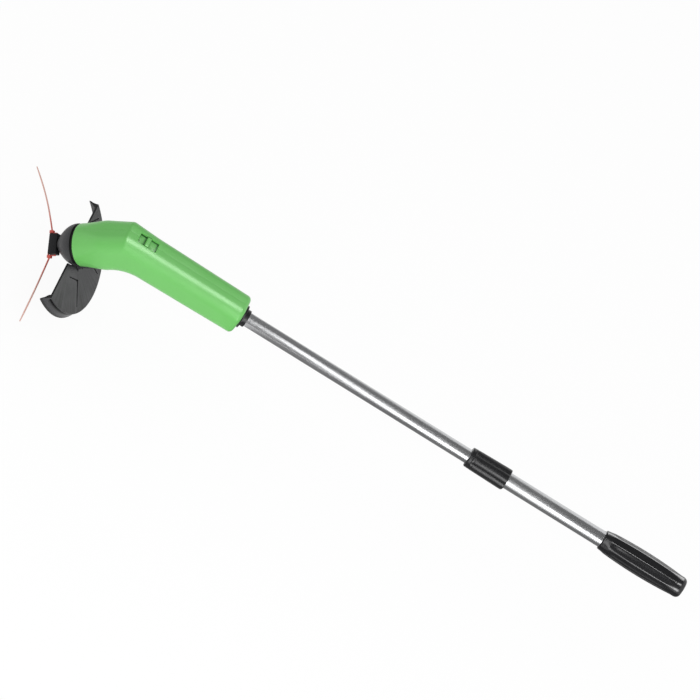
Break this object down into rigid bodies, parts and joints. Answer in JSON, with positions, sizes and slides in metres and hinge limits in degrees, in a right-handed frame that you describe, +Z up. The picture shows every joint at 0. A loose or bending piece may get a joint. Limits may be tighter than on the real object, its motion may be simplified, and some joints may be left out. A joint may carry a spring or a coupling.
{
  "type": "handheld grass trimmer",
  "caption": "Cordless grass trimmer with a bent housing, spinning cable-tie cutter, half-round guard, telescopic pole and hand grip.",
  "frame": {"origin": "middle of the hand grip, on the pole's axis, where the hand holds the tool", "axes": "+X along the pole towards the grip's end, +Z up with the switch side on top, Y across the bend plane; the pole is level and the head points down and forward"},
  "size_m": [0.8359, 0.1592, 0.1436],
  "materials": {
    "green_plastic": "moulded, satin gloss",
    "black_plastic": "moulded, fine grain",
    "dark_grey_plastic": "moulded, fine grain",
    "stainless_steel": "bright drawn tube",
    "zinc_steel": "zinc plated",
    "brass": "bare",
    "copper": "enamelled copper winding",
    "ferrite": "sintered",
    "red_nylon": "moulded nylon",
    "cell_sleeve": "shrunk sleeve",
    "red_wire": "insulated lead",
    "black_wire": "insulated lead"
  },
  "bodies": {
    "handle_pole": {"grip": "black_plastic", "outer_tube": "stainless_steel", "pole_plug": "black_plastic", "collar_collet": "dark_grey_plastic"},
    "collar": {"lock_collar": "black_plastic"},
    "head": {"housing_left": "green_plastic", "housing_right": "green_plastic", "motor_mount_plate": "black_plastic", "motor_end_bell": "black_plastic", "battery_tray": "black_plastic", "neck_socket": "black_plastic", "tube_glide": "black_plastic", "nose_cone": "dark_grey_plastic", "guard": "dark_grey_plastic", "inner_tube": "stainless_steel", "contact_spring_1": "stainless_steel", "contact_spring_2": "stainless_steel", "motor_can": "zinc_steel", "switch_body": "zinc_steel", "contact_plate_1": "zinc_steel", "contact_plate_2": "zinc_steel", "guard_screw_1": "zinc_steel", "guard_screw_2": "zinc_steel", "motor_screw_1": "zinc_steel", "motor_screw_2": "zinc_steel", "housing_screw_1": "zinc_steel", "housing_screw_2": "zinc_steel", "housing_screw_3": "zinc_steel", "housing_screw_4": "zinc_steel", "housing_screw_5": "zinc_steel", "motor_terminal_1": "brass", "motor_terminal_2": "brass", "motor_magnet_1": "ferrite", "motor_magnet_2": "ferrite", "battery_1": "cell_sleeve", "battery_2": "cell_sleeve", "battery_3": "cell_sleeve", "battery_4": "cell_sleeve", "wire_tray_to_switch": "red_wire", "wire_switch_to_motor": "red_wire", "wire_tray_to_motor": "black_wire"},
    "cutter": {"line_hub": "black_plastic", "hub_screw": "zinc_steel", "cable_tie_1": "red_nylon", "cable_tie_2": "red_nylon", "motor_shaft": "stainless_steel", "motor_armature": "copper", "motor_commutator": "brass"},
    "switch": {"switch_slider": "green_plastic", "switch_lever": "black_plastic"},
    "door": {"battery_door": "green_plastic"}
  },
  "joints": [
    {"name": "pole_telescope", "type": "slide", "parent": "handle_pole", "child": "head", "axis": [1, 0, 0], "range_m": [0, 0.15]},
    {"name": "collar_twist", "type": "hinge", "parent": "handle_pole", "child": "collar", "pos_m": [-0.2, 0, 0], "axis": [1, 0, 0], "range_deg": [0, 90]},
    {"name": "cutter_spin", "type": "hinge", "parent": "head", "child": "cutter", "pos_m": [-0.661, 0, 0], "axis": [-0.7193, 0, -0.6947], "continuous": true},
    {"name": "switch_slide", "type": "slide", "parent": "head", "child": "switch", "axis": [-1, 0, 0], "range_m": [0, 0.005]},
    {"name": "door_release", "type": "slide", "parent": "head", "child": "door", "axis": [0, 0, -1], "range_m": [0, 0.03]}
  ]
}
